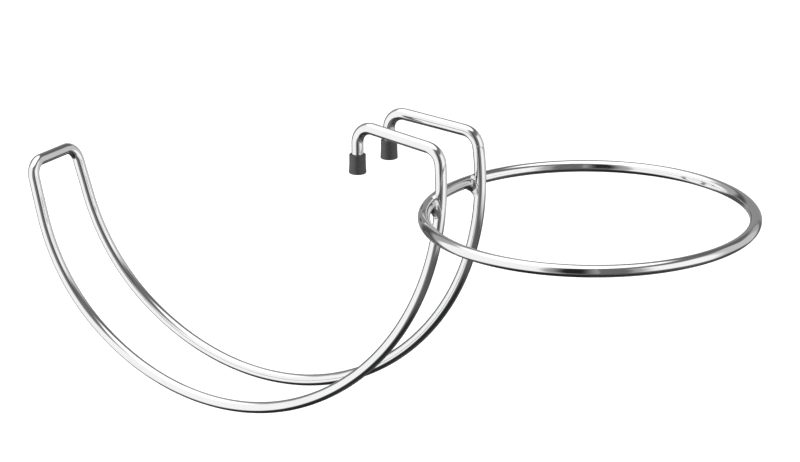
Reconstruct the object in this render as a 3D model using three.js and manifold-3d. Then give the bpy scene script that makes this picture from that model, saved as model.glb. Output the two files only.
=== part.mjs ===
// A hanging ring holder for the edge of a table, bent and welded from round chromed rod.
//
// One long rod is bent double. Its two ends hook over the table's edge and stand on the
// table top in rubber caps; its two sides then drop past the edge, swing under the table
// in a half-round cradle and meet in a short end bar that bears up on the table's
// underside. A separate closed ring, which carries the bucket, is welded to both uprights
// just outside the edge.
//
// Millimetres. +X runs from the feet out over the table's edge to the ring, +Y from the
// front side of the frame to the rear side, +Z up. The origin is midway between the two
// feet, in the plane of their undersides, which is the table top.

import * as THREE from 'three';
import { mergeVertices } from 'three/addons/utils/BufferGeometryUtils.js';
import Module from 'manifold-3d';

const wasm = await Module();
wasm.setup();

// ---------------------------------------------------------------- driving dimensions

const ROD_DIAMETER = 7; // the same stock for the frame and the ring
const BEND_RADIUS = 10; // centreline radius of the hook bends and the end bar's corners
const CLEARANCE = 0.3; // kept between neighbouring pieces

// Feet and hooks
const CAP_LENGTH = 11.5;
const CAP_TOP_DIAMETER = 9.8;
const CAP_BASE_DIAMETER = 10.3;
const CAP_FLOOR = 1.5;
const CAP_BASE_ROUND = 0.6; // radius of the round between the cap's side and its underside
const CAP_LIP_ROUND = 0.4;
const FOOT_RUN = 7; // bare rod between the cap and the first bend
const TOP_RUN = 39.5; // straight over the table's edge
const TOP_RUN_FALL = 5.5; // degrees that the top run drops towards the ring
const UPRIGHT_LEAN = 6; // degrees that the upright leans out where it leaves the top bend

// Cradle: three arcs that tighten towards the far end, then a short straight
const CRADLE_ARCS = [
  { radius: 160, sweep: 72 },
  { radius: 147, sweep: 64 },
  { radius: 125, sweep: 34 },
];
const END_RUN = 23;

// Distance between the two sides of the frame, centre to centre
const FOOT_SPACING = 34;
const END_SPACING = 45;
const BOW = 15; // extra spacing midway between the feet and the end bar

// Ring
const RING_DIAMETER = 190; // to the centre of the rod
const RING_FLATTENING = { depth: 2.5, spread: 61 }; // the ring is a little flat towards the table
const WELD_DROP = 21.6; // along the upright, from the top bend to the ring
const WELD_SET_DOWN = 2; // how far a weld presses the two rods into each other
const WELD_REACH = { radial: 5, along: 6.5, up: 6 }; // half sizes of a weld bead
const WELD_OFFSET = { frontwards: 1.5, down: 1.5 }; // both beads are laid from the front and below

// Facets
const SECTION_SIDES = 12;
const TIGHT_BEND_STEP = 9; // degrees between stations on a tight bend
const CRADLE_STEP = 4; // degrees between stations on the cradle
const STRAIGHT_STEP = 14; // millimetres between stations on a straight
const RING_STATIONS = 96;
const CAP_STATIONS = 32;
const ROUND_STEPS = 4;
const BEAD_STATIONS = { around: 24, topToBottom: 16 };
const REACH_REPEATS = 5; // enough for the ring's place to settle
const STEP_BACK = 0.01; // millimetres, for reading the direction at the end of a leg
const MERGE_DISTANCE = 1e-4; // millimetres, corners closer than this are one corner

// ---------------------------------------------------------------- derived dimensions

// A many-sided section with the same area as the round rod
const sectionTurn = (2 * Math.PI) / SECTION_SIDES;
const SECTION_RADIUS = (ROD_DIAMETER / 2) * Math.sqrt(sectionTurn / Math.sin(sectionTurn));
const RING_RADIUS = RING_DIAMETER / 2;
const ROD_END_HEIGHT = CAP_FLOOR + CLEARANCE; // where the rod stops inside its cap
const radians = THREE.MathUtils.degToRad;
const Y_AXIS = new THREE.Vector3(0, 1, 0);

// ---------------------------------------------------------------- materials

const chrome = new THREE.MeshStandardMaterial({ color: 0xd9dadc, metalness: 1, roughness: 0.08 });
const weldMetal = new THREE.MeshStandardMaterial({ color: 0xb4b5b8, metalness: 1, roughness: 0.25 });
const rubber = new THREE.MeshStandardMaterial({ color: 0x3d3d40, metalness: 0, roughness: 0.7 });

// ---------------------------------------------------------------- the rod's side profile

// The profile is the side view of one side of the frame, in the X-Z plane, from the rod's
// end in its cap to the start of the end bar's corner. Every bend turns clockwise.
const PROFILE_LEGS = [
  { length: CAP_LENGTH - ROD_END_HEIGHT + FOOT_RUN },
  { radius: BEND_RADIUS, sweep: 90 + TOP_RUN_FALL },
  { length: TOP_RUN },
  { radius: BEND_RADIUS, sweep: 90 - TOP_RUN_FALL - UPRIGHT_LEAN },
  ...CRADLE_ARCS,
  { length: END_RUN },
];
const FOOT_BEND_LEG = 1; // the bend over each foot
const TOP_BEND_LEG = 3; // the bend that the upright hangs from

// Works out where each leg starts, how long it is and how many stations it needs.
function layOutProfile(legs) {
  let start = new THREE.Vector2(0, ROD_END_HEIGHT);
  let heading = Math.PI / 2;
  let distance = 0;
  const laidOut = [];
  for (const leg of legs) {
    const turn = leg.sweep ? radians(leg.sweep) : 0;
    const length = leg.sweep ? leg.radius * turn : leg.length;
    const bendStep = leg.radius > BEND_RADIUS ? CRADLE_STEP : TIGHT_BEND_STEP;
    const steps = Math.ceil(leg.sweep ? leg.sweep / bendStep : length / STRAIGHT_STEP);
    const placed = { radius: leg.radius, turn, length, steps, start, heading, distance };
    laidOut.push(placed);
    start = pointOnLeg(placed, length);
    heading -= turn;
    distance += length;
  }
  return laidOut;
}

function pointOnLeg(leg, along) {
  if (!leg.turn) {
    const run = new THREE.Vector2(Math.cos(leg.heading), Math.sin(leg.heading));
    return run.multiplyScalar(along).add(leg.start);
  }
  const { radius, heading, start } = leg;
  const turned = heading - along / radius;
  const x = start.x + radius * (Math.sin(heading) - Math.sin(turned));
  const z = start.y + radius * (Math.cos(turned) - Math.cos(heading));
  return new THREE.Vector2(x, z);
}

const profile = layOutProfile(PROFILE_LEGS);
const footBend = profile[FOOT_BEND_LEG];
const upright = profile[TOP_BEND_LEG + 1];
const lastLeg = profile[profile.length - 1];

// How far a place on the side is along the stretch that spreads sideways. The foot stands
// plumb, so the spreading eases in over the bend above it.
function spreadTravel(distance) {
  const pastFoot = Math.max(distance - footBend.distance, 0);
  const f = Math.min(pastFoot / footBend.length, 1);
  return footBend.length * (f ** 3 - f ** 4 / 2) + Math.max(pastFoot - footBend.length, 0);
}

const SPREAD_LENGTH = spreadTravel(lastLeg.distance + lastLeg.length);

// Half the distance between the two sides: it widens from the feet to the end bar, and the
// sides also bow apart in between.
function halfSpacing(distance) {
  const u = spreadTravel(distance) / SPREAD_LENGTH;
  return (THREE.MathUtils.lerp(FOOT_SPACING, END_SPACING, u) + BOW * 4 * u * (1 - u)) / 2;
}

function pointOnFrontSide(leg, along) {
  const flat = pointOnLeg(leg, along);
  return new THREE.Vector3(flat.x, -halfSpacing(leg.distance + along), flat.y);
}

// ---------------------------------------------------------------- the rod's centreline

// The front half of the rod as a list of stretches: the side's legs, the corner and half of
// the end bar. point(f) gives the place a fraction f of the way along a stretch.
function layOutFrontHalf() {
  const stretches = profile.map((leg) => ({
    steps: leg.steps,
    point: (f) => pointOnFrontSide(leg, f * leg.length),
  }));
  const cornerStart = pointOnFrontSide(lastLeg, lastLeg.length);
  const justBefore = pointOnFrontSide(lastLeg, lastLeg.length - STEP_BACK);
  const incoming = cornerStart.clone().sub(justBefore).normalize();
  const cornerTurn = incoming.angleTo(Y_AXIS);
  const inward = Y_AXIS.clone().addScaledVector(incoming, -incoming.dot(Y_AXIS)).normalize();
  const corner = (f) => {
    const turned = f * cornerTurn;
    return cornerStart
      .clone()
      .addScaledVector(incoming, BEND_RADIUS * Math.sin(turned))
      .addScaledVector(inward, BEND_RADIUS * (1 - Math.cos(turned)));
  };
  const cornerSteps = Math.ceil(THREE.MathUtils.radToDeg(cornerTurn) / TIGHT_BEND_STEP);
  stretches.push({ steps: cornerSteps, point: corner });
  const barStart = corner(1);
  const barMiddle = new THREE.Vector3(barStart.x, 0, barStart.z);
  stretches.push({ steps: 1, point: (f) => barStart.clone().lerp(barMiddle, f) });
  return stretches;
}

// The whole centreline, from the front foot round the end bar to the rear foot. The rear
// half mirrors the front half. Equal steps of the parameter land on the stations.
class FrameRodPath extends THREE.Curve {
  constructor() {
    super();
    this.stretches = layOutFrontHalf();
    this.halfSteps = this.stretches.reduce((sum, stretch) => sum + stretch.steps, 0);
  }

  pointOnFrontHalf(fraction) {
    let station = fraction * this.halfSteps;
    for (const stretch of this.stretches) {
      if (station <= stretch.steps) return stretch.point(station / stretch.steps);
      station -= stretch.steps;
    }
    return this.stretches[this.stretches.length - 1].point(1);
  }

  getPoint(t) {
    const point = this.pointOnFrontHalf(t <= 0.5 ? 2 * t : 2 - 2 * t);
    if (t > 0.5) point.y = -point.y;
    return point;
  }

  getUtoTmapping(u) {
    return u;
  }
}

// ---------------------------------------------------------------- geometry helpers

function roundSection(radius) {
  const corners = [];
  for (let i = 0; i < SECTION_SIDES; i++) {
    const angle = i * sectionTurn;
    corners.push(new THREE.Vector2(radius * Math.cos(angle), radius * Math.sin(angle)));
  }
  return new THREE.Shape(corners);
}

function frameRodGeometry(radius) {
  const path = new FrameRodPath();
  return new THREE.ExtrudeGeometry(roundSection(radius), {
    steps: 2 * path.halfSteps,
    extrudePath: path,
    bevelEnabled: false,
  });
}

// The ring's centreline radius in a direction from its centre; half a turn is the table's side.
function ringRadiusAt(angle) {
  const fromTableSide = THREE.MathUtils.radToDeg(Math.PI - Math.abs(angle));
  const { depth, spread } = RING_FLATTENING;
  return RING_RADIUS - depth * Math.exp(-((fromTableSide / spread) ** 2));
}

function ringGeometry(radius) {
  const geometry = new THREE.TorusGeometry(RING_RADIUS, radius, SECTION_SIDES, RING_STATIONS);
  const corners = geometry.attributes.position;
  for (let i = 0; i < corners.count; i++) {
    const angle = Math.atan2(corners.getY(i), corners.getX(i));
    const inward = RING_RADIUS - ringRadiusAt(angle);
    corners.setX(i, corners.getX(i) - inward * Math.cos(angle));
    corners.setY(i, corners.getY(i) - inward * Math.sin(angle));
  }
  return geometry;
}

// A quarter round in a lathe profile, from one angle to another about a centre.
function quarterRound(centreR, centreH, radius, fromDegrees, toDegrees) {
  const points = [];
  for (let i = 0; i <= ROUND_STEPS; i++) {
    const angle = radians(THREE.MathUtils.lerp(fromDegrees, toDegrees, i / ROUND_STEPS));
    points.push(
      new THREE.Vector2(centreR + radius * Math.cos(angle), centreH + radius * Math.sin(angle)),
    );
  }
  return points;
}

function toSolid(geometry) {
  const bare = geometry.clone();
  bare.deleteAttribute('normal');
  bare.deleteAttribute('uv');
  const merged = mergeVertices(bare, MERGE_DISTANCE);
  const triVerts = new Uint32Array(merged.index.array);
  const vertProperties = new Float32Array(merged.attributes.position.array);
  return new wasm.Manifold(new wasm.Mesh({ numProp: 3, vertProperties, triVerts }));
}

function toGeometry(solid) {
  const mesh = solid.getMesh();
  const geometry = new THREE.BufferGeometry();
  geometry.setAttribute('position', new THREE.BufferAttribute(mesh.vertProperties, 3));
  geometry.setIndex(new THREE.BufferAttribute(mesh.triVerts, 1));
  geometry.computeVertexNormals();
  return geometry;
}

function namedMesh(name, geometry, material) {
  const mesh = new THREE.Mesh(geometry, material);
  mesh.name = name;
  return mesh;
}

// ---------------------------------------------------------------- where the ring goes

// The ring passes outside both uprights, and each upright is sunk a little into its inner side.
const weldOnUpright = pointOnLeg(upright, WELD_DROP);
const weldHalfSpacing = halfSpacing(upright.distance + WELD_DROP);
const centreDistance = ROD_DIAMETER - WELD_SET_DOWN; // upright to ring, centre to centre

// How far an upright is from the ring's centre. The ring's radius depends on the direction of
// the upright, so each repeat corrects the one before.
function findReachToUpright() {
  let reach = RING_RADIUS - centreDistance;
  for (let i = 0; i < REACH_REPEATS; i++) {
    const towardsUpright = Math.PI - Math.asin(weldHalfSpacing / reach);
    reach = ringRadiusAt(towardsUpright) - centreDistance;
  }
  return reach;
}

const reachToUpright = findReachToUpright();
const ringCentre = new THREE.Vector3(
  weldOnUpright.x + Math.sqrt(reachToUpright ** 2 - weldHalfSpacing ** 2),
  0,
  weldOnUpright.y,
);

// ---------------------------------------------------------------- the pieces

function frameRod() {
  return namedMesh('frame_rod', frameRodGeometry(SECTION_RADIUS), chrome);
}

// The ring is notched where the uprights are sunk into it.
function ring() {
  const whole = ringGeometry(SECTION_RADIUS).translate(ringCentre.x, ringCentre.y, ringCentre.z);
  const fatRod = frameRodGeometry(SECTION_RADIUS + CLEARANCE);
  return namedMesh('ring', toGeometry(toSolid(whole).subtract(toSolid(fatRod))), chrome);
}

// A push-on cap: a cup with a blind hole for the rod, slightly wider at its base, with a
// flat underside inside a rounded rim.
function footCap(name, side) {
  const boreRadius = (SECTION_RADIUS + CLEARANCE) / Math.cos(Math.PI / CAP_STATIONS);
  const baseRadius = CAP_BASE_DIAMETER / 2;
  const topRadius = CAP_TOP_DIAMETER / 2;
  const baseRound = quarterRound(baseRadius - CAP_BASE_ROUND, CAP_BASE_ROUND, CAP_BASE_ROUND, -90, 0);
  const lipRound = quarterRound(topRadius - CAP_LIP_ROUND, CAP_LENGTH - CAP_LIP_ROUND, CAP_LIP_ROUND, 0, 90);
  const outline = [
    new THREE.Vector2(0, 0),
    ...baseRound,
    ...lipRound,
    new THREE.Vector2(boreRadius, CAP_LENGTH),
    new THREE.Vector2(boreRadius, CAP_FLOOR),
    new THREE.Vector2(0, CAP_FLOOR),
  ];
  const mesh = namedMesh(name, new THREE.LatheGeometry(outline, CAP_STATIONS), rubber);
  mesh.rotation.x = Math.PI / 2;
  mesh.position.y = (side * FOOT_SPACING) / 2;
  return mesh;
}

// A weld bead: a lump by the place where an upright meets the ring, cut back from both. It is
// set up with +X away from the ring's centre and +Y along the ring towards the front.
function weld(name, side) {
  const towardsUpright = Math.atan2(side * weldHalfSpacing, weldOnUpright.x - ringCentre.x);
  const contactReach = reachToUpright + centreDistance / 2;
  const lump = new THREE.SphereGeometry(1, BEAD_STATIONS.around, BEAD_STATIONS.topToBottom);
  lump.scale(WELD_REACH.radial, WELD_REACH.along, WELD_REACH.up);
  lump.translate(0, WELD_OFFSET.frontwards, -WELD_OFFSET.down);
  lump.rotateZ(towardsUpright);
  lump.translate(
    ringCentre.x + contactReach * Math.cos(towardsUpright),
    contactReach * Math.sin(towardsUpright),
    ringCentre.z,
  );
  const fatRadius = SECTION_RADIUS + CLEARANCE;
  const fatRing = ringGeometry(fatRadius).translate(ringCentre.x, 0, ringCentre.z);
  const bead = toSolid(lump).subtract(toSolid(frameRodGeometry(fatRadius))).subtract(toSolid(fatRing));
  return namedMesh(name, toGeometry(bead), weldMetal);
}

const FRONT = -1;
const REAR = 1;

const holder = new THREE.Group();
holder.add(
  frameRod(),
  ring(),
  weld('front_weld', FRONT),
  weld('rear_weld', REAR),
  footCap('front_foot_cap', FRONT),
  footCap('rear_foot_cap', REAR),
);

export default holder;
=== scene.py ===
"""Looks of the hanging ring holder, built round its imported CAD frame.

Metres. +X runs from the feet out over the table's edge to the ring, +Y from the front side
of the frame to the rear side, +Z up. The origin is midway between the two feet's undersides.
"""

import math

import bmesh
import bpy
import numpy as np
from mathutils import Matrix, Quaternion, Vector


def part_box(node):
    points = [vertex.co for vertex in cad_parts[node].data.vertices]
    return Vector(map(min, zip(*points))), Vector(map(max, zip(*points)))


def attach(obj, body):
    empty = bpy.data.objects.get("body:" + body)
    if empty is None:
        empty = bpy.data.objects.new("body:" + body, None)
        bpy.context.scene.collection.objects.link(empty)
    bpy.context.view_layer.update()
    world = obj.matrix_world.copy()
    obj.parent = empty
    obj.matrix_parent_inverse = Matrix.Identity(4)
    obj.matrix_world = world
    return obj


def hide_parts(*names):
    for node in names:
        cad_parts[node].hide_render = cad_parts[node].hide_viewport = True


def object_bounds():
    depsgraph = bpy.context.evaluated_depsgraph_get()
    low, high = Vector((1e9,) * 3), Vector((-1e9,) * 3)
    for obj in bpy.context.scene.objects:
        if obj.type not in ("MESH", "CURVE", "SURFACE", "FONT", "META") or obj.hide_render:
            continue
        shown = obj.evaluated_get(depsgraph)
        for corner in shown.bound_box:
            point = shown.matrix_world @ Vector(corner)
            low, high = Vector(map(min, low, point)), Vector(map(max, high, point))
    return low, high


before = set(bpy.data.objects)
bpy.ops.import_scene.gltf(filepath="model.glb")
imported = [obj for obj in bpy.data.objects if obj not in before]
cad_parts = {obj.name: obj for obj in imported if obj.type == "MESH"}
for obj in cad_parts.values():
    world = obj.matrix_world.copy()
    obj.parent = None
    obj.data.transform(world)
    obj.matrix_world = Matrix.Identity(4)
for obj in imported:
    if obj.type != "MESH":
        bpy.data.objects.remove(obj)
cad_low, cad_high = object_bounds()

MM = 0.001
BODY = "root"
FRONT = -1
REAR = 1

# ---------------------------------------------------------------- dimensions of the rod

# These repeat the frame's own driving dimensions, with angles in degrees.
# check_against_frame() tests those of the rod, by the box that they give.
ROD_RADIUS = 3.5 * MM
CAD_SECTION_SIDES = 12
BEND_RADIUS = 10 * MM
ROD_END_HEIGHT = 1.8 * MM
FOOT_STRAIGHT = 16.7 * MM  # from the rod's end in its cap to the first bend
TOP_RUN = 39.5 * MM
TOP_RUN_FALL = 5.5
UPRIGHT_LEAN = 6
CRADLE_ARCS = ((160 * MM, 72), (147 * MM, 64), (125 * MM, 34))
END_RUN = 23 * MM
FOOT_SPACING = 34 * MM
END_SPACING = 45 * MM
BOW = 15 * MM
RING_RADIUS = 95 * MM
FLATTENING_DEPTH = 2.5 * MM
FLATTENING_SPREAD = 61
WELD_DROP = 21.6 * MM
FOOT_BEND_LEG = 1
UPRIGHT_LEG = 4
FIT_TOLERANCE = 0.3 * MM

# Fineness of the swept surfaces
ROD_SIDES = 32
RING_STATIONS = 480
TIGHT_STEP = math.radians(3)
CRADLE_STEP = 1.2 * MM
STRAIGHT_STEP = 3 * MM
DIRECTION_STEP = 0.01 * MM  # for reading the direction at the end of a leg
LEAST_CROSSWISE = 0.1  # a sweep's first crosswise direction is longer than this, or is +Y

# ---------------------------------------------------------------- camera

VIEW_AZIMUTH = math.radians(32.6)
VIEW_ELEVATION = math.radians(18.64)
VIEW_ROLL = math.radians(-0.18)
CAMERA_DISTANCE = 2.2
SENSOR_WIDTH = 36
LENS = 168.55
AIM_FROM_ORIGIN = Vector((18.3, 0, -37.4)) * MM
CLIP_START = 0.05
CLIP_END = 50


def direction(azimuth, elevation):
    """The unit vector towards a place in the studio, azimuth 0 being the camera's side and
    positive azimuths going to the camera's right."""
    turned = VIEW_AZIMUTH + azimuth
    flat = Vector((math.sin(turned), -math.cos(turned), 0))
    return flat * math.cos(elevation) + Vector((0, 0, math.sin(elevation)))


def add_camera():
    data = bpy.data.cameras.new("camera")
    data.sensor_width = SENSOR_WIDTH
    data.lens = LENS
    data.clip_start = CLIP_START
    data.clip_end = CLIP_END
    camera = bpy.data.objects.new("camera", data)
    towards_camera = direction(0, VIEW_ELEVATION)
    camera.location = AIM_FROM_ORIGIN + CAMERA_DISTANCE * towards_camera
    level = towards_camera.to_track_quat("Z", "Y")
    camera.rotation_euler = (level @ Quaternion((0, 0, 1), VIEW_ROLL)).to_euler()
    bpy.context.scene.collection.objects.link(camera)
    bpy.context.scene.camera = camera


# ---------------------------------------------------------------- the rod's centreline


def lay_out_profile():
    """The side view of one side, leg by leg, from the rod's end in its cap to the corner of
    the end bar. Every bend turns clockwise in the X-Z plane."""
    legs = [
        (FOOT_STRAIGHT, None, 0),
        (None, BEND_RADIUS, 90 + TOP_RUN_FALL),
        (TOP_RUN, None, 0),
        (None, BEND_RADIUS, 90 - TOP_RUN_FALL - UPRIGHT_LEAN),
        *((None, radius, sweep) for radius, sweep in CRADLE_ARCS),
        (END_RUN, None, 0),
    ]
    laid_out = []
    start = np.array([0, ROD_END_HEIGHT])
    heading = math.pi / 2
    distance = 0
    for length, radius, sweep in legs:
        turn = math.radians(sweep)
        if radius:
            length = radius * turn
        leg = dict(start=start, heading=heading, distance=distance, length=length, radius=radius)
        laid_out.append(leg)
        start = point_on_leg(leg, length)
        heading -= turn
        distance += length
    return laid_out


def point_on_leg(leg, along):
    heading, radius = leg["heading"], leg["radius"]
    if not radius:
        return leg["start"] + along * np.array([math.cos(heading), math.sin(heading)])
    turned = heading - along / radius
    across = math.sin(heading) - math.sin(turned)
    up = math.cos(turned) - math.cos(heading)
    return leg["start"] + radius * np.array([across, up])


PROFILE = lay_out_profile()
LAST_LEG = PROFILE[-1]


def spread_travel(distance):
    """How far a place is along the stretch that spreads sideways, which eases in over the
    bend above the foot."""
    foot_bend = PROFILE[FOOT_BEND_LEG]
    past_foot = max(distance - foot_bend["distance"], 0)
    f = min(past_foot / foot_bend["length"], 1)
    return foot_bend["length"] * (f**3 - f**4 / 2) + max(past_foot - foot_bend["length"], 0)


SPREAD_LENGTH = spread_travel(LAST_LEG["distance"] + LAST_LEG["length"])


def half_spacing(distance):
    u = spread_travel(distance) / SPREAD_LENGTH
    return (FOOT_SPACING * (1 - u) + END_SPACING * u + BOW * 4 * u * (1 - u)) / 2


def point_on_side(leg, along):
    x, z = point_on_leg(leg, along)
    return np.array([x, -half_spacing(leg["distance"] + along), z])


def leg_fineness(leg):
    if not leg["radius"]:
        return STRAIGHT_STEP
    return BEND_RADIUS * TIGHT_STEP if leg["radius"] == BEND_RADIUS else CRADLE_STEP


def rod_centreline():
    """Points along the whole rod, from the front foot round the end bar to the rear foot."""
    half = []
    for leg in PROFILE:
        steps = math.ceil(leg["length"] / leg_fineness(leg))
        half.extend(point_on_side(leg, leg["length"] * i / steps) for i in range(steps))
    corner_start = point_on_side(LAST_LEG, LAST_LEG["length"])
    incoming = corner_start - point_on_side(LAST_LEG, LAST_LEG["length"] - DIRECTION_STEP)
    incoming /= np.linalg.norm(incoming)
    along_y = np.array([0, 1, 0])
    corner_turn = math.acos(incoming @ along_y)
    inward = along_y - (incoming @ along_y) * incoming
    inward /= np.linalg.norm(inward)
    steps = math.ceil(corner_turn / TIGHT_STEP)
    for turned in np.linspace(0, corner_turn, steps + 1):
        forward = math.sin(turned) * incoming + (1 - math.cos(turned)) * inward
        half.append(corner_start + BEND_RADIUS * forward)
    bar_steps = math.ceil(-half[-1][1] / STRAIGHT_STEP)
    bar = [half[-1] * [1, 1 - i / bar_steps, 1] for i in range(1, bar_steps)]
    front = np.array(half + bar)
    middle = front[-1] * [1, 0, 1]
    return np.vstack([front, middle, front[::-1] * [1, -1, 1]])


def check_against_frame(points):
    """Stops the script if the repeated dimensions no longer give the frame's own rod."""
    low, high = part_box("frame_rod")
    inset = Vector((1, 1, 1)) * ROD_RADIUS
    wanted = np.array([low + inset, high - inset])
    found = np.array([points.min(0), points.max(0)])
    worst = abs(wanted - found).max()
    if worst > FIT_TOLERANCE:
        raise ValueError(f"the rod's centreline is {worst / MM:.2f} mm off the frame")


# ---------------------------------------------------------------- swept surfaces


def carried_frames(points, closed):
    """Tangents and two crosswise directions at each point, carried along without twist."""
    if closed:
        tangents = np.roll(points, -1, 0) - np.roll(points, 1, 0)
    else:
        tangents = np.gradient(points, axis=0)
    tangents /= np.linalg.norm(tangents, axis=1)[:, None]
    across = np.cross(tangents[0], [0, 0, 1.0])
    if np.linalg.norm(across) < LEAST_CROSSWISE:
        across = np.array([0, 1.0, 0])
    first = []
    for tangent in tangents:
        across = across - (across @ tangent) * tangent
        across = across / np.linalg.norm(across)
        first.append(across)
    first = np.array(first)
    return tangents, first, np.cross(tangents, first)


def sweep(name, points, closed):
    """A smooth round tube along the points, with flat ends unless it is closed. Each vertex
    keeps its place on the straightened rod in the attribute rod_place."""
    _, first, second = carried_frames(points, closed)
    angles = np.linspace(0, 2 * math.pi, ROD_SIDES, endpoint=False)
    circle = ROD_RADIUS * np.c_[np.cos(angles), np.sin(angles)]
    along_first = circle[None, :, :1] * first[:, None]
    along_second = circle[None, :, 1:] * second[:, None]
    rings = points[:, None] + along_first + along_second
    count = len(points)
    steps = np.linalg.norm(np.diff(points, axis=0), axis=1)
    travelled = np.r_[0, np.cumsum(steps)]
    place = np.concatenate([
        np.broadcast_to(circle, (count, ROD_SIDES, 2)),
        np.broadcast_to(travelled[:, None, None], (count, ROD_SIDES, 1)),
    ], axis=2)
    faces = []
    for i in range(count if closed else count - 1):
        here, ahead = i * ROD_SIDES, (i + 1) % count * ROD_SIDES
        for j in range(ROD_SIDES):
            k = (j + 1) % ROD_SIDES
            faces.append((here + j, here + k, ahead + k, ahead + j))
    if not closed:
        faces.append(tuple(range(ROD_SIDES))[::-1])
        faces.append(tuple(range((count - 1) * ROD_SIDES, count * ROD_SIDES)))
    mesh = bpy.data.meshes.new(name)
    mesh.from_pydata(rings.reshape(-1, 3).tolist(), [], faces)
    attribute = mesh.attributes.new("rod_place", "FLOAT_VECTOR", "POINT")
    attribute.data.foreach_set("vector", place.ravel())
    mesh.shade_smooth()
    return add_piece(name, mesh)


def mesh_of(drawn, name):
    mesh = bpy.data.meshes.new(name)
    drawn.to_mesh(mesh)
    drawn.free()
    return mesh


def add_piece(name, mesh):
    piece = bpy.data.objects.new(name, mesh)
    bpy.context.scene.collection.objects.link(piece)
    return piece


def put_in_place(piece, node, material):
    piece.data.materials.append(material)
    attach(piece, BODY)
    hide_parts(node)


def build_frame_rod(material):
    points = rod_centreline()
    check_against_frame(points)
    put_in_place(sweep("bent_rod", points, False), "frame_rod", material)


def ring_centre():
    low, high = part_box("ring")
    turn = 2 * math.pi / CAD_SECTION_SIDES
    cad_section_radius = ROD_RADIUS * math.sqrt(turn / math.sin(turn))
    return Vector((high.x - cad_section_radius - RING_RADIUS, 0, (low.z + high.z) / 2))


def ring_radius_at(angle):
    from_table_side = np.degrees(math.pi - np.abs(angle))
    return RING_RADIUS - FLATTENING_DEPTH * np.exp(-((from_table_side / FLATTENING_SPREAD) ** 2))


def ring_centreline():
    angles = np.linspace(-math.pi, math.pi, RING_STATIONS, endpoint=False)
    circle = np.c_[np.cos(angles), np.sin(angles), 0 * angles]
    return np.array(ring_centre()) + ring_radius_at(angles)[:, None] * circle


def build_ring(material):
    put_in_place(sweep("round_ring", ring_centreline(), True), "ring", material)


# ---------------------------------------------------------------- weld beads

# A bead's surface is where a field of distances is zero. The field blends the ring and the
# upright into each other, strongest where they touch, and adds puddles of weld metal. Away
# from the joint the surface dives a little under both rods.
WELD_BALL = 10.5 * MM  # how far from the joint a bead reaches
WELD_BLEND = 6.5 * MM
LEAST_BLEND = 0.01 * MM
WELD_FADE = 6 * MM  # the distance over which the blend and the ripple fade
WELD_SINK = 0.12 * MM  # how far the surface lies under a plain rod
WELD_STEPS = 36  # steps outwards in search of the surface
WELD_DETAIL = 6  # subdivisions of the sphere of directions
PUDDLES = (
    dict(out=1.9 * MM, along=3.2 * MM, up=-4.5 * MM, height=2.9 * MM, spread=3.4 * MM),
    dict(out=0.5 * MM, along=1.5 * MM, up=1.2 * MM, height=0.8 * MM, spread=2.4 * MM),
)
UPRIGHT_REACH = 1.4 * WELD_BALL
STATION_GAP = 0.6 * MM
RIPPLE_HEIGHT = 0.16 * MM
RIPPLE_LENGTH = 2.3 * MM


def ripple(places):
    """A slow unevenness of the weld metal."""
    x, y, z = (places * (2 * math.pi / RIPPLE_LENGTH)).T
    return RIPPLE_HEIGHT * np.sin(y + x / 3) * np.cos(z / 2 + x / 2)


def weld_place(side):
    """The middle of a joint, the direction out from the ring's centre, and the one along the
    ring towards the front. side is -1 at the front and 1 at the rear."""
    on_upright = point_on_side(PROFILE[UPRIGHT_LEG], WELD_DROP) * [1, -side, 1]
    middle = np.array(ring_centre())
    outwards = (on_upright - middle) * [1, 1, 0]
    outwards /= np.linalg.norm(outwards)
    on_ring = middle + ring_radius_at(math.atan2(outwards[1], outwards[0])) * outwards
    frontwards = np.array([-outwards[1], outwards[0], 0])
    return (on_upright + on_ring) / 2, outwards, frontwards


def upright_stations(side):
    leg = PROFILE[UPRIGHT_LEG]
    reach = np.arange(WELD_DROP - UPRIGHT_REACH, WELD_DROP + UPRIGHT_REACH, STATION_GAP)
    return np.array([point_on_side(leg, along) for along in reach]) * [1, -side, 1]


def weld_field(places, side):
    joint, outwards, frontwards = weld_place(side)
    stations = upright_stations(side)
    to_upright = np.linalg.norm(places[:, None] - stations[None], axis=2).min(1) - ROD_RADIUS
    from_centre = places - np.array(ring_centre())
    ring_radii = ring_radius_at(np.arctan2(from_centre[:, 1], from_centre[:, 0]))
    across = np.hypot(from_centre[:, 0], from_centre[:, 1]) - ring_radii
    to_ring = np.hypot(across, from_centre[:, 2]) - ROD_RADIUS
    nearness = np.exp(-((np.linalg.norm(places - joint, axis=1) / WELD_FADE) ** 2))
    blend = WELD_BLEND * nearness + LEAST_BLEND
    overlap = np.maximum(blend - abs(to_ring - to_upright), 0) / blend
    field = np.minimum(to_ring, to_upright) - overlap**2 * blend / 4 + WELD_SINK
    for puddle in PUDDLES:
        middle = joint + puddle["out"] * outwards + puddle["along"] * frontwards
        middle = middle + [0, 0, puddle["up"]]
        off_middle = np.linalg.norm(places - middle, axis=1) / puddle["spread"]
        field -= puddle["height"] * np.exp(-(off_middle**2))
    return field - ripple(places) * nearness


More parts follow.
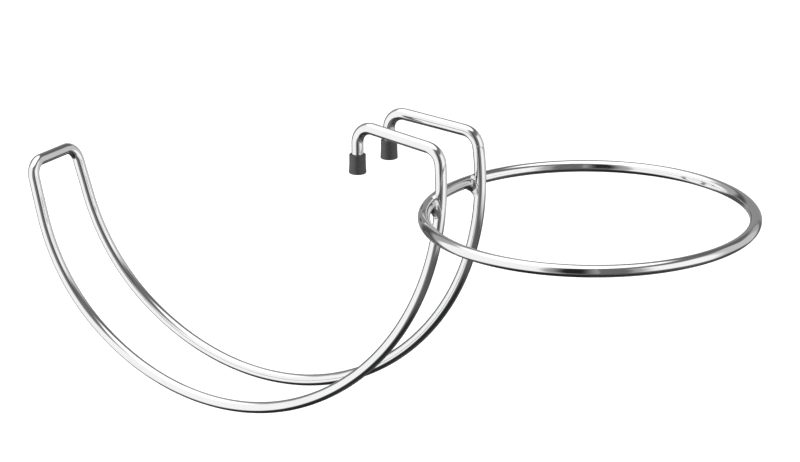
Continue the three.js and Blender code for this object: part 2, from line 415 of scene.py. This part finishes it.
def build_weld(name, node, side, material):
    """A closed bead, drawn by going out from the middle of the joint in every direction as far
    as the field's first zero."""
    drawn = bmesh.new()
    bmesh.ops.create_icosphere(drawn, subdivisions=WELD_DETAIL, radius=1)
    outward = np.array([vertex.co for vertex in drawn.verts])
    joint, _, _ = weld_place(side)
    reached = np.full(len(outward), WELD_BALL)
    going = np.ones(len(outward), bool)
    step = WELD_BALL / WELD_STEPS
    before = weld_field(joint + 0 * outward, side)
    for i in range(1, WELD_STEPS + 1):
        here = weld_field(joint + i * step * outward, side)
        found = going & (here >= 0)
        reached[found] = step * (i - 1 + before[found] / (before[found] - here[found]))
        going &= ~found
        before = here
    for vertex, place in zip(drawn.verts, joint + reached[:, None] * outward):
        vertex.co = place
    mesh = mesh_of(drawn, name)
    mesh.shade_smooth()
    put_in_place(add_piece(name, mesh), node, material)


# ---------------------------------------------------------------- foot caps

CAP_SIDES = 72
CAP_GRIP_RADIUS = ROD_RADIUS + 0.03 * MM
CAP_TOP_RADIUS = 4.9 * MM
CAP_BASE_ROUND = 0.6 * MM
CAP_LIP_ROUND = 0.45 * MM
CAP_MOUTH_ROUND = 0.35 * MM
CAP_WAIST = 0.12 * MM
CAP_FLOOR = 1.5 * MM
CAP_SHARP_ANGLE = math.radians(50)
ROUND_STEPS = 6
WALL_STEPS = 14


def rounded(centre, radius, from_degrees, to_degrees):
    angles = np.radians(np.linspace(from_degrees, to_degrees, ROUND_STEPS + 1))
    return [(centre[0] + radius * math.cos(a), centre[1] + radius * math.sin(a)) for a in angles]


def cap_outline(base_radius, height):
    """Radius and height of a cap's section, from the edge of its flat underside, up the
    outside, over the lip and down inside to the edge of its floor."""
    base = rounded((base_radius - CAP_BASE_ROUND, CAP_BASE_ROUND), CAP_BASE_ROUND, -90, 0)
    lip = rounded((CAP_TOP_RADIUS - CAP_LIP_ROUND, height - CAP_LIP_ROUND), CAP_LIP_ROUND, 0, 90)
    wall = []
    for i in range(1, WALL_STEPS):
        f = i / WALL_STEPS
        straight = base[-1][0] * (1 - f) + lip[0][0] * f
        up = base[-1][1] * (1 - f) + lip[0][1] * f
        wall.append((straight - CAP_WAIST * math.sin(math.pi * f), up))
    mouth_centre = (CAP_GRIP_RADIUS + CAP_MOUTH_ROUND, height - CAP_MOUTH_ROUND)
    mouth = rounded(mouth_centre, CAP_MOUTH_ROUND, 90, 180)
    return [*base, *wall, *lip, *mouth, (CAP_GRIP_RADIUS, CAP_FLOOR)]


def build_cap(name, node, material):
    low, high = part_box(node)
    middle = (low + high) / 2
    outline = cap_outline((high.x - low.x) / 2, high.z - low.z)
    drawn = bmesh.new()
    turns = [2 * math.pi * i / CAP_SIDES for i in range(CAP_SIDES)]
    rows = []
    for radius, height in outline:
        row = []
        for turn in turns:
            x = middle.x + radius * math.cos(turn)
            y = middle.y + radius * math.sin(turn)
            row.append(drawn.verts.new((x, y, low.z + height)))
        rows.append(row)
    for lower, upper in zip(rows, rows[1:]):
        for i in range(CAP_SIDES):
            j = (i + 1) % CAP_SIDES
            drawn.faces.new((lower[i], lower[j], upper[j], upper[i]))
    drawn.faces.new(rows[0][::-1])
    drawn.faces.new(rows[-1])
    mesh = mesh_of(drawn, name)
    mesh.shade_smooth()
    mesh.set_sharp_from_angle(angle=CAP_SHARP_ANGLE)
    put_in_place(add_piece(name, mesh), node, material)


# ---------------------------------------------------------------- materials

# Colours are linear red, green, blue and alpha. A pattern's scale is in repeats to the metre.
FULL_RANGE = (0.0, 1.0)

CHROME_COLOURS = ((0.61, 0.612, 0.615, 1), (0.67, 0.672, 0.675, 1))
CHROME_ROUGHNESS = (0.045, 0.11)
DRAWN_LINES = dict(scale=900.0, detail=3.0)
DRAWN_LINE_STRETCH = 0.03
DRAWN_LINE_BUMP = dict(strength=0.3, distance=0.06 * MM)
PLATING_SWELL = dict(scale=120.0, detail=1.0)
PLATING_SWELL_STRETCH = 0.35
PLATING_SWELL_BUMP = dict(strength=0.4, distance=0.1 * MM)

WELD_COLOURS = ((0.66, 0.66, 0.665, 1), (0.5, 0.5, 0.505, 1))
WELD_ROUGHNESS = (0.09, 0.26)
WELD_DULLING = dict(scale=320.0, detail=2.0)
WELD_DULLED_FROM, WELD_DULLED_TO = 0.35, 0.7
WELD_LUMPS = dict(scale=700.0, detail=3.0)
WELD_LUMP_BUMP = dict(strength=0.5, distance=0.25 * MM)
WELD_GRAIN_SCALE = 1500.0
WELD_GRAIN_BUMP = dict(strength=0.15, distance=0.06 * MM)

RUBBER_COLOURS = ((0.034, 0.034, 0.035, 1), (0.046, 0.046, 0.047, 1))
RUBBER_ROUGHNESS = (0.33, 0.46)
RUBBER_IOR = 1.5
RUBBER_CLOUDS = dict(scale=260.0, detail=2.0)
RUBBER_CLOUD_BUMP = dict(strength=0.4, distance=0.12 * MM)
RUBBER_GRAIN = dict(scale=3200.0, detail=4.0)
RUBBER_GRAIN_BUMP = dict(strength=0.22, distance=0.04 * MM)
SCUFF_COLOUR = (0.06, 0.06, 0.061, 1)
SCUFFS = dict(scale=420.0, detail=5.0)
SCUFF_STRETCH = 5
SCUFFED_FROM, SCUFFED_TO = 0.56, 0.68


class Nodes:
    """A short way to write a node tree."""

    # Places of the Mix node's sockets, whose names are not all different
    MIX_FACTOR = 0
    MIX_VALUES = (2, 3)
    MIX_COLOURS = (6, 7)
    MIXED_COLOUR = 2

    def __init__(self, tree):
        self.tree = tree
        tree.nodes.clear()

    def add(self, kind, inputs=None, **settings):
        node = self.tree.nodes.new(kind)
        for name, value in settings.items():
            setattr(node, name, value)
        for key, value in (inputs or {}).items():
            self.feed(node.inputs[key], value)
        return node

    def feed(self, socket, value):
        if isinstance(value, bpy.types.NodeSocket):
            self.tree.links.new(value, socket)
        else:
            socket.default_value = value

    def math(self, operation, *values):
        return self.add("ShaderNodeMath", dict(enumerate(values)), operation=operation).outputs[0]

    def dot(self, vector, other):
        inputs = {0: vector, 1: other}
        return self.add("ShaderNodeVectorMath", inputs, operation="DOT_PRODUCT").outputs["Value"]

    def stretched(self, place, scale):
        """The place with its last coordinate scaled, which draws a pattern out or squeezes it."""
        return self.add("ShaderNodeMapping", {"Vector": place, "Scale": (1, 1, scale)}).outputs[0]

    def noise(self, place, scale, detail):
        inputs = {"Vector": place, "Scale": scale, "Detail": detail}
        return self.add("ShaderNodeTexNoise", inputs).outputs[0]

    def remapped(self, value, old_range, new_range, **settings):
        inputs = {"Value": value, "From Min": old_range[0], "From Max": old_range[1],
                  "To Min": new_range[0], "To Max": new_range[1]}
        return self.add("ShaderNodeMapRange", inputs, **settings).outputs[0]

    def mixed_value(self, factor, first, second, label):
        inputs = {self.MIX_FACTOR: factor, self.MIX_VALUES[0]: first, self.MIX_VALUES[1]: second}
        return self.add("ShaderNodeMix", inputs, label=label).outputs[0]

    def mixed_colour(self, factor, first, second):
        inputs = {self.MIX_FACTOR: factor, self.MIX_COLOURS[0]: first, self.MIX_COLOURS[1]: second}
        return self.add("ShaderNodeMix", inputs, data_type="RGBA").outputs[self.MIXED_COLOUR]

    def bump(self, height, strength, distance, over=None):
        """The normal of a bumpy surface, on top of another bump if one is given."""
        inputs = {"Height": height, "Strength": strength, "Distance": distance}
        if over is not None:
            inputs["Normal"] = over
        return self.add("ShaderNodeBump", inputs).outputs[0]

    def finish_with(self, kind, inputs):
        shader = self.add(kind, inputs)
        self.add("ShaderNodeOutputMaterial", {"Surface": shader.outputs[0]})


def new_material(name):
    material = bpy.data.materials.new(name)
    material.use_nodes = True
    return material, Nodes(material.node_tree)


def chrome_material():
    """Bright plating over drawn wire: fine lines along the rod and a slow unevenness."""
    material, n = new_material("bright_chrome")
    place = n.add("ShaderNodeAttribute", attribute_name="rod_place").outputs["Vector"]
    lines = n.noise(n.stretched(place, DRAWN_LINE_STRETCH), **DRAWN_LINES)
    swell = n.noise(n.stretched(place, PLATING_SWELL_STRETCH), **PLATING_SWELL)
    lined = n.bump(lines, **DRAWN_LINE_BUMP)
    n.finish_with("ShaderNodeBsdfPrincipled", {
        "Base Color": n.mixed_colour(swell, *CHROME_COLOURS),
        "Metallic": 1.0,
        "Roughness": n.remapped(lines, FULL_RANGE, CHROME_ROUGHNESS),
        "Normal": n.bump(swell, **PLATING_SWELL_BUMP, over=lined),
    })
    return material


def weld_material():
    """The same plating over weld metal, which is lumpy and a little dull."""
    material, n = new_material("plated_weld_metal")
    place = n.add("ShaderNodeTexCoord").outputs["Object"]
    grain_inputs = {"Vector": place, "Scale": WELD_GRAIN_SCALE}
    grains = n.add("ShaderNodeTexVoronoi", grain_inputs, feature="SMOOTH_F1").outputs[0]
    dulling = n.noise(place, **WELD_DULLING)
    lumpy = n.bump(n.noise(place, **WELD_LUMPS), **WELD_LUMP_BUMP)
    n.finish_with("ShaderNodeBsdfPrincipled", {
        "Base Color": n.mixed_colour(dulling, *WELD_COLOURS),
        "Metallic": 1.0,
        "Roughness": n.remapped(dulling, (WELD_DULLED_FROM, WELD_DULLED_TO), WELD_ROUGHNESS),
        "Normal": n.bump(grains, **WELD_GRAIN_BUMP, over=lumpy),
    })
    return material


def rubber_material():
    """Moulded charcoal rubber: a fine matt grain, a slow cloudiness and faint scuffs."""
    material, n = new_material("moulded_rubber")
    place = n.add("ShaderNodeTexCoord").outputs["Object"]
    clouds = n.noise(place, **RUBBER_CLOUDS)
    scuffs = n.noise(n.stretched(place, SCUFF_STRETCH), **SCUFFS)
    scuffed = n.remapped(scuffs, (SCUFFED_FROM, SCUFFED_TO), FULL_RANGE)
    cloudy_colour = n.mixed_colour(clouds, *RUBBER_COLOURS)
    clouded = n.bump(clouds, **RUBBER_CLOUD_BUMP)
    n.finish_with("ShaderNodeBsdfPrincipled", {
        "Base Color": n.mixed_colour(scuffed, cloudy_colour, SCUFF_COLOUR),
        "Roughness": n.remapped(clouds, FULL_RANGE, RUBBER_ROUGHNESS),
        "IOR": RUBBER_IOR,
        "Normal": n.bump(n.noise(place, **RUBBER_GRAIN), **RUBBER_GRAIN_BUMP, over=clouded),
    })
    return material


# ---------------------------------------------------------------- studio

FLOOR_DROP = 0.12
FLOOR_HALF_SIZE = 8
FLOOR_CELLS = 8
FLOOR_COLOUR = (0.86, 0.86, 0.86, 1)
FLOOR_ROUGHNESS = 0.9
FLOOR_GLOW = 0.35
WHITE = (1, 1, 1, 1)
BACKGROUND = 1.0

# The surroundings as patches of light, laid one over the other in this order. Degrees:
# azimuths go from the camera's side to its right, and elevations go up from level.
STUDIO_BASE = 0.55
STUDIO_EDGE = 8
STUDIO_PATCHES = (
    dict(name="camera side", azimuths=(-20, 26), elevations=(-90, 62), level=0.2),
    dict(name="low surroundings", azimuths=(-200, 200), elevations=(-100, -44), level=0.12),
    dict(name="low right", azimuths=(10, 200), elevations=(-100, -34), level=0.15),
    dict(name="floor below", azimuths=(-200, 200), elevations=(-100, -55), level=0.03),
    dict(name="right ceiling", azimuths=(-6, 155), elevations=(41, 63), level=0.22),
    dict(name="rear right wall", azimuths=(93, 138), elevations=(-24, 38), level=0.8),
    dict(name="rear right ceiling", azimuths=(124, 180), elevations=(24, 52), level=0.18),
    dict(name="low rear right", azimuths=(104, 175), elevations=(-100, -24), level=0.1),
    dict(name="rear top", azimuths=(-240, -122), elevations=(42, 90), level=1.1),
    dict(name="left softbox", azimuths=(-118, -33), elevations=(-43, 90), level=1.4),
    dict(name="right softbox", azimuths=(37, 93), elevations=(-30, 40), level=1.42, edge=14),
)
STUDIO_CONES = (
    dict(name="dark around the backdrop", azimuth=-170, elevation=-12, radius=46, level=0.11),
    dict(name="backdrop", azimuth=-178, elevation=0, radius=31, level=0.36),
    dict(name="overhead", azimuth=-120, elevation=78, radius=35, level=2.0),
)
# The card is darkest over the middle share of its width, and lightens from there to its edges.
DARK_CARD = dict(distance=0.75, sideways=-0.02, half_width=0.19, bottom=-0.33, top=0.72,
                 middle_share=0.3, middle_level=0.025, edge_level=0.45)


def add_studio():
    world = bpy.data.worlds.new("studio")
    bpy.context.scene.world = world
    world.use_nodes = True
    n = Nodes(world.node_tree)
    towards = n.add("ShaderNodeTexCoord").outputs["Generated"]

    def below(value, limit, edge):
        soft = (limit - edge / 2, limit + edge / 2)
        return n.remapped(value, soft, (1.0, 0.0), interpolation_type="SMOOTHSTEP")

    def within(value, limits, edge):
        middle, half_width = (limits[0] + limits[1]) / 2, (limits[1] - limits[0]) / 2
        off_middle = n.math("ABSOLUTE", n.math("SUBTRACT", value, middle))
        return below(off_middle, half_width, edge)

    def degrees(angle):
        return n.math("MULTIPLY", angle, 180 / math.pi)

    to_right = n.dot(towards, direction(math.pi / 2, 0))
    to_camera = n.dot(towards, direction(0, 0))
    azimuth = degrees(n.math("ARCTAN2", to_right, to_camera))
    elevation = degrees(n.math("ARCSINE", n.dot(towards, (0, 0, 1))))
    light = STUDIO_BASE
    for patch in STUDIO_PATCHES:
        edge = patch.get("edge", STUDIO_EDGE)
        mask = n.math("MULTIPLY", within(azimuth, patch["azimuths"], edge),
                      within(elevation, patch["elevations"], edge))
        light = n.mixed_value(mask, light, patch["level"], patch["name"])
    for cone in STUDIO_CONES:
        middle = direction(math.radians(cone["azimuth"]), math.radians(cone["elevation"]))
        off_middle = degrees(n.math("ARCCOSINE", n.dot(towards, middle)))
        mask = below(off_middle, cone["radius"], STUDIO_EDGE)
        light = n.mixed_value(mask, light, cone["level"], cone["name"])
    seen = n.add("ShaderNodeLightPath").outputs["Is Camera Ray"]
    strength = n.mixed_value(seen, light, BACKGROUND, "plain background")
    background = n.add("ShaderNodeBackground", {"Color": WHITE, "Strength": strength})
    n.add("ShaderNodeOutputWorld", {"Surface": background.outputs[0]})


def add_dark_card():
    """A dark card on the camera's side, which shows only as a dark line in the chrome."""
    drawn = bmesh.new()
    across, towards = direction(math.pi / 2, 0), direction(0, 0)
    middle = towards * DARK_CARD["distance"] + across * DARK_CARD["sideways"]
    corners = []
    for side, height in ((-1, "bottom"), (1, "bottom"), (1, "top"), (-1, "top")):
        place = middle + side * DARK_CARD["half_width"] * across
        corners.append(drawn.verts.new(place + Vector((0, 0, DARK_CARD[height]))))
    drawn.faces.new(corners)
    mesh = mesh_of(drawn, "dark_card")
    card = add_piece("dark_card", mesh)
    card.visible_camera = False
    card.visible_diffuse = False
    card.visible_shadow = False
    material, n = new_material("dark_card")
    sideways = n.dot(n.add("ShaderNodeTexCoord").outputs["Object"], across)
    off_middle = n.math("ABSOLUTE", n.math("SUBTRACT", sideways, DARK_CARD["sideways"]))
    lightening = (DARK_CARD["middle_share"] * DARK_CARD["half_width"], DARK_CARD["half_width"])
    levels = (DARK_CARD["middle_level"], DARK_CARD["edge_level"])
    level = n.remapped(off_middle, lightening, levels, interpolation_type="SMOOTHSTEP")
    n.finish_with("ShaderNodeEmission", {"Strength": level})
    mesh.materials.append(material)


def add_floor():
    drawn = bmesh.new()
    bmesh.ops.create_grid(drawn, x_segments=FLOOR_CELLS, y_segments=FLOOR_CELLS, size=FLOOR_HALF_SIZE)
    mesh = mesh_of(drawn, "floor")
    floor = add_piece("floor", mesh)
    floor.location.z = cad_low.z - FLOOR_DROP
    floor.visible_glossy = False
    material, n = new_material("floor_paper")
    n.finish_with("ShaderNodeBsdfPrincipled", {
        "Base Color": FLOOR_COLOUR,
        "Roughness": FLOOR_ROUGHNESS,
        "Emission Color": WHITE,
        "Emission Strength": FLOOR_GLOW,
    })
    mesh.materials.append(material)


# ---------------------------------------------------------------- the scene

bpy.context.scene.view_settings.view_transform = "Standard"
add_camera()
add_studio()
add_floor()
add_dark_card()
chrome = chrome_material()
build_frame_rod(chrome)
build_ring(chrome)
weld_metal = weld_material()
build_weld("front_weld_bead", "front_weld", FRONT, weld_metal)
build_weld("rear_weld_bead", "rear_weld", REAR, weld_metal)
rubber = rubber_material()
build_cap("front_rubber_cap", "front_foot_cap", rubber)
build_cap("rear_rubber_cap", "rear_foot_cap", rubber)
